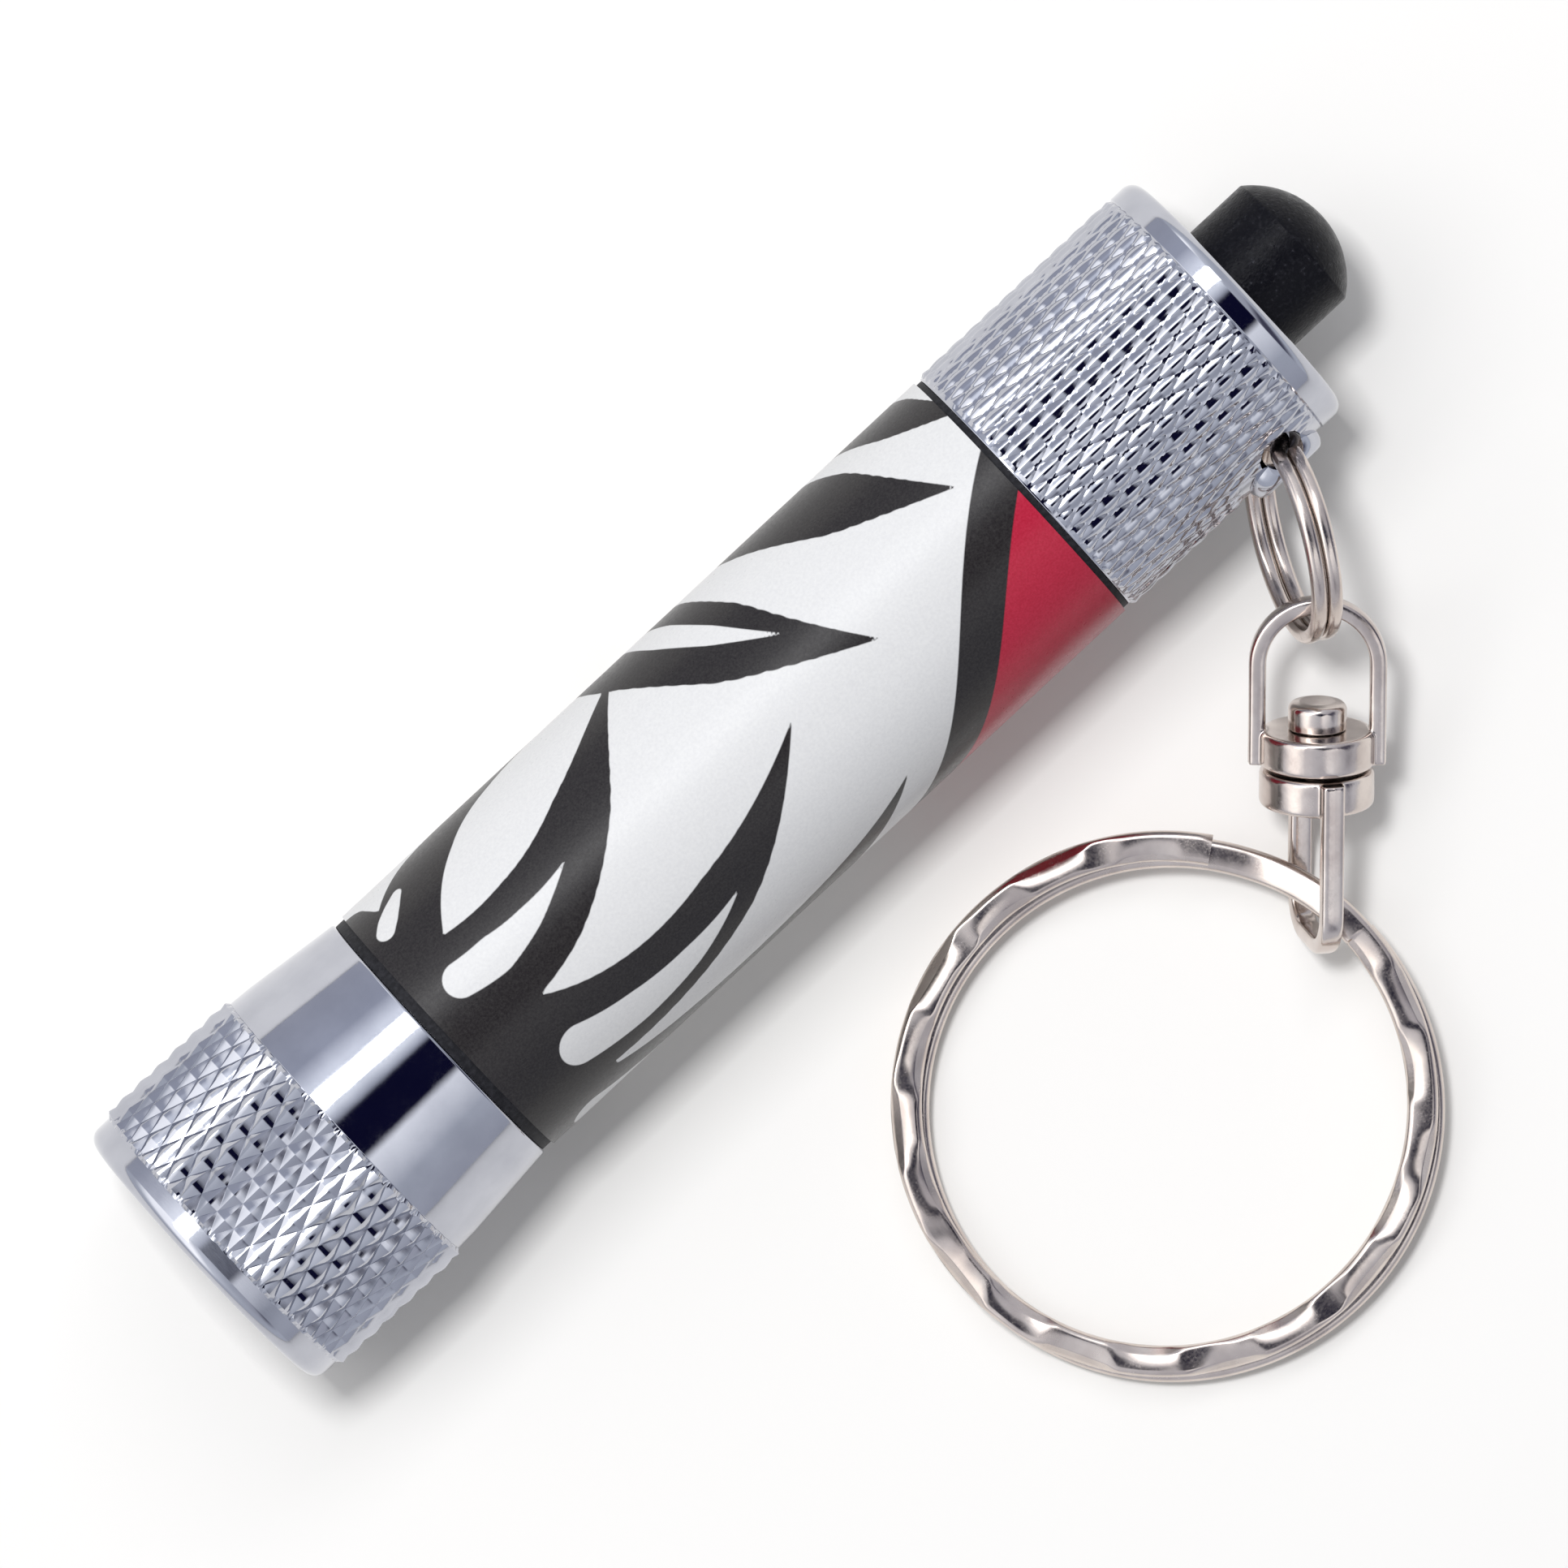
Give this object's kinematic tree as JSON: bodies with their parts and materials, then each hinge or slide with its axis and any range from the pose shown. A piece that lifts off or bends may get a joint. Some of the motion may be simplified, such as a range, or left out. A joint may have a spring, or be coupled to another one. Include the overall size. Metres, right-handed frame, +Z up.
{
  "type": "keychain flashlight",
  "caption": "Short round keychain flashlight with knurled chromed ends, a printed barrel, a tail push button and a key ring on a swivel.",
  "frame": {"origin": "on the flashlight's axis, in the middle of the printed barrel", "axes": "+X along the flashlight towards the push button, the lens faces -X; +Z up, with the flashlight lying on its side; the key ring lies on the -Y side"},
  "size_m": [0.0777, 0.0509, 0.0176],
  "materials": {
    "chrome": "mirror-polished chrome plate",
    "nickel_rings": "bright nickel plate, warm",
    "nickel_swivel": "bright nickel plate on a casting",
    "barrel_aluminium": "plain turned",
    "printed_film": "satin-gloss printed film",
    "black_seal": "matt black",
    "black_button": "satin black, fine grain",
    "clear_lens": "clear",
    "mirror_reflector": "metallised",
    "clear_led": "clear epoxy",
    "tinned_leads": "tinned",
    "white_plastic": "moulded",
    "circuit_board": "solder mask",
    "brass_contacts": "plain",
    "spring_steel": "plated wire",
    "cell_steel": "plated can",
    "black_plastic": "moulded"
  },
  "bodies": {
    "torch": {"barrel_tube": "barrel_aluminium", "printed_wrap": "printed_film", "head_seal": "black_seal", "tail_seal": "black_seal", "led_emitter": "clear_led", "led_leads": "tinned_leads", "led_holder": "white_plastic", "circuit_disc": "circuit_board", "contact_spring": "spring_steel", "cell_sleeve": "white_plastic", "button_cell_1": "cell_steel", "button_cell_2": "cell_steel", "button_cell_3": "cell_steel", "button_cell_4": "cell_steel", "contact_rod": "brass_contacts", "switch_housing": "black_plastic", "retaining_ring": "brass_contacts", "tail_cap": "chrome", "return_spring": "spring_steel"},
    "lens_stack": {"lens": "clear_lens", "lens_seal": "black_seal", "reflector": "mirror_reflector"},
    "head": {"head_shell": "chrome"},
    "button": {"push_button": "black_button", "plunger": "white_plastic", "contact_bridge": "brass_contacts"},
    "small_ring": {"small_split_ring": "nickel_rings"},
    "swivel_top": {"bail": "nickel_swivel"},
    "swivel_bottom": {"clevis": "nickel_swivel", "rivet": "nickel_swivel"},
    "key_ring": {"large_split_ring": "nickel_rings"}
  },
  "joints": [
    {"name": "head_slide", "type": "slide", "parent": "torch", "child": "lens_stack", "axis": [-1, 0, 0], "range_m": [0, 0.00402]},
    {"name": "head_turn", "type": "hinge", "parent": "lens_stack", "child": "head", "pos_m": [-0.03, 0, 0], "axis": [-1, 0, 0], "range_deg": [0, 1440]},
    {"name": "button_press", "type": "slide", "parent": "torch", "child": "button", "axis": [-1, 0, 0], "range_m": [0, 0.002], "stiffness_N_per_m": 700, "springref_m": -0.002, "deforming": ["return_spring"]},
    {"name": "small_ring_turn", "type": "hinge", "parent": "torch", "child": "small_ring", "pos_m": [0.02854, -0.01095, 0.0002], "axis": [-0.8596, 0.4667, 0.2079], "range_deg": [-60, 60]},
    {"name": "bail_swing", "type": "hinge", "parent": "small_ring", "child": "swivel_top", "pos_m": [0.02519, -0.01651, -0.00181], "axis": [-0.1949, -0.209, 0.9583], "range_deg": [-10, 60]},
    {"name": "swivel_spin", "type": "hinge", "parent": "swivel_top", "child": "swivel_bottom", "pos_m": [0.02519, -0.01651, -0.00181], "axis": [-0.6535, -0.7008, -0.2858], "continuous": true},
    {"name": "key_ring_swing", "type": "hinge", "parent": "swivel_bottom", "child": "key_ring", "pos_m": [0.01717, -0.02511, -0.00612], "axis": [-0.0553, -0.0112, 0.9984], "range_deg": [-1, 60]}
  ],
  "couplings": [
    {"joint": "head_slide", "follows": "head_turn", "m_per_rad": 0.00015915}
  ]
}
